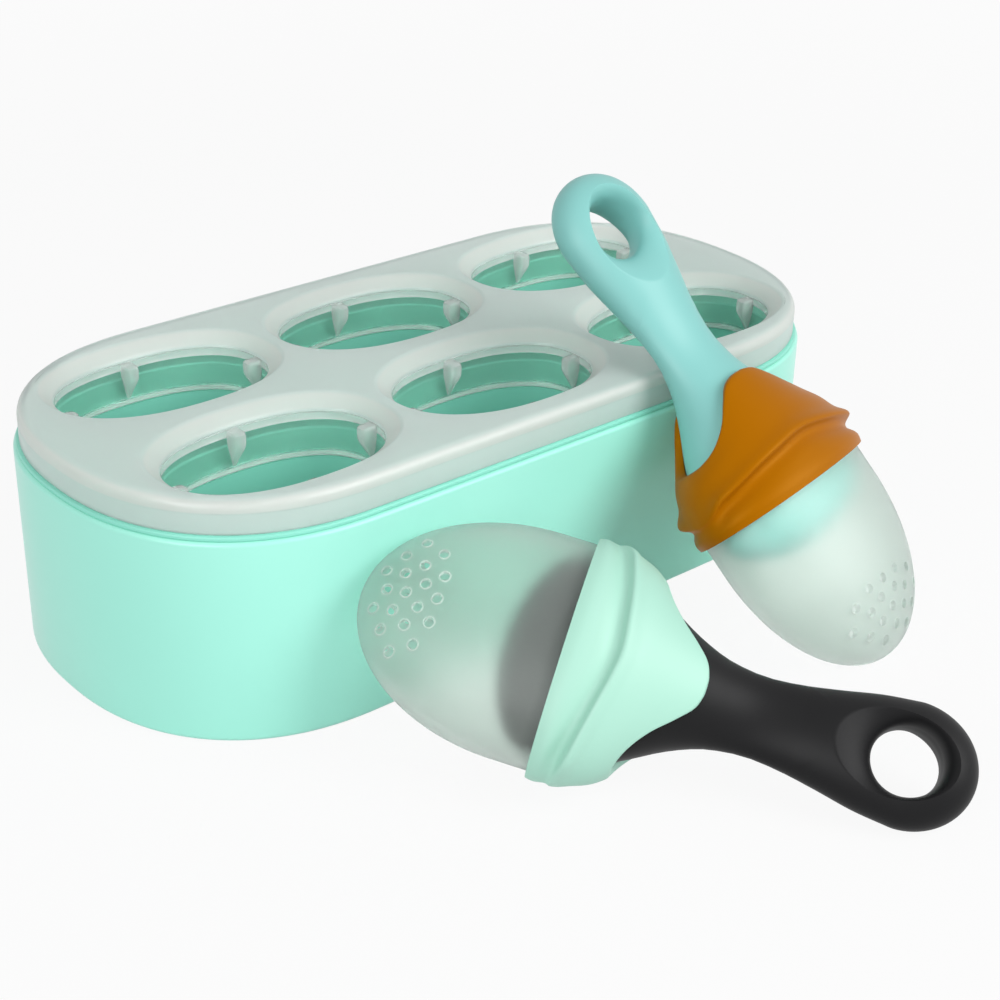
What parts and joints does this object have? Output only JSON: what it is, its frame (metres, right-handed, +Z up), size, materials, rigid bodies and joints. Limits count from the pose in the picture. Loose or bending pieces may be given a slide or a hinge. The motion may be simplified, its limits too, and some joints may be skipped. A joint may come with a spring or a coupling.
{
  "type": "baby food freezer tray",
  "caption": "Lidded freezer tray with oval cups for portions of baby food, with silicone feeders lying against it, each with a pull-out handle.",
  "frame": {"origin": "on the floor, under the middle of the tray", "axes": "+X along the tray, +Y to the tray's back, away from the feeders, +Z up"},
  "size_m": [0.223, 0.2255, 0.1068],
  "materials": {
    "tub_mint": "satin gloss",
    "cups_mint": "soft satin",
    "lid_frosted": "frosted, lets light through",
    "sleeve_clear": "clear, glossy",
    "handle_black": "satin",
    "stem_black": "satin",
    "collar_mint": "soft satin",
    "bulb_frosted": "frosted, lets light through",
    "handle_aqua": "satin",
    "stem_aqua": "satin",
    "collar_ochre": "soft satin"
  },
  "bodies": {
    "tub": {"tray_tub": "tub_mint"},
    "cups": {"cup_insert": "cups_mint"},
    "lid": {"tray_lid": "lid_frosted", "front_left_sleeve": "sleeve_clear", "front_middle_sleeve": "sleeve_clear", "front_right_sleeve": "sleeve_clear", "back_left_sleeve": "sleeve_clear", "back_middle_sleeve": "sleeve_clear", "back_right_sleeve": "sleeve_clear"},
    "aqua_handle": {"aqua_feeder_handle": "handle_aqua", "aqua_feeder_stem": "stem_aqua"},
    "aqua_bulb": {"aqua_feeder_collar": "collar_ochre", "aqua_feeder_bulb": "bulb_frosted"},
    "black_bulb": {"black_feeder_collar": "collar_mint", "black_feeder_bulb": "bulb_frosted"},
    "black_handle": {"black_feeder_handle": "handle_black", "black_feeder_stem": "stem_black"}
  },
  "joints": [
    {"name": "cups_lift", "type": "slide", "parent": "tub", "child": "cups", "axis": [0, 0, 1], "range_m": [0, 0.09]},
    {"name": "lid_lift", "type": "slide", "parent": "cups", "child": "lid", "axis": [0, 0, 1], "range_m": [0, 0.06]},
    {"name": "aqua_lift", "type": "slide", "parent": "lid", "child": "aqua_handle", "axis": [0, 0, 1], "range_m": [0, 0.12]},
    {"name": "aqua_bulb_pull", "type": "slide", "parent": "aqua_handle", "child": "aqua_bulb", "axis": [0.1739, -0.6725, -0.7193], "range_m": [0, 0.05], "deforming": ["aqua_feeder_collar"]},
    {"name": "black_lift", "type": "slide", "parent": "tub", "child": "black_bulb", "axis": [0, 0, 1], "range_m": [0, 0.12]},
    {"name": "black_handle_pull", "type": "slide", "parent": "black_bulb", "child": "black_handle", "axis": [0.5962, -0.8028, 0], "range_m": [0, 0.05], "deforming": ["black_feeder_collar"]}
  ]
}
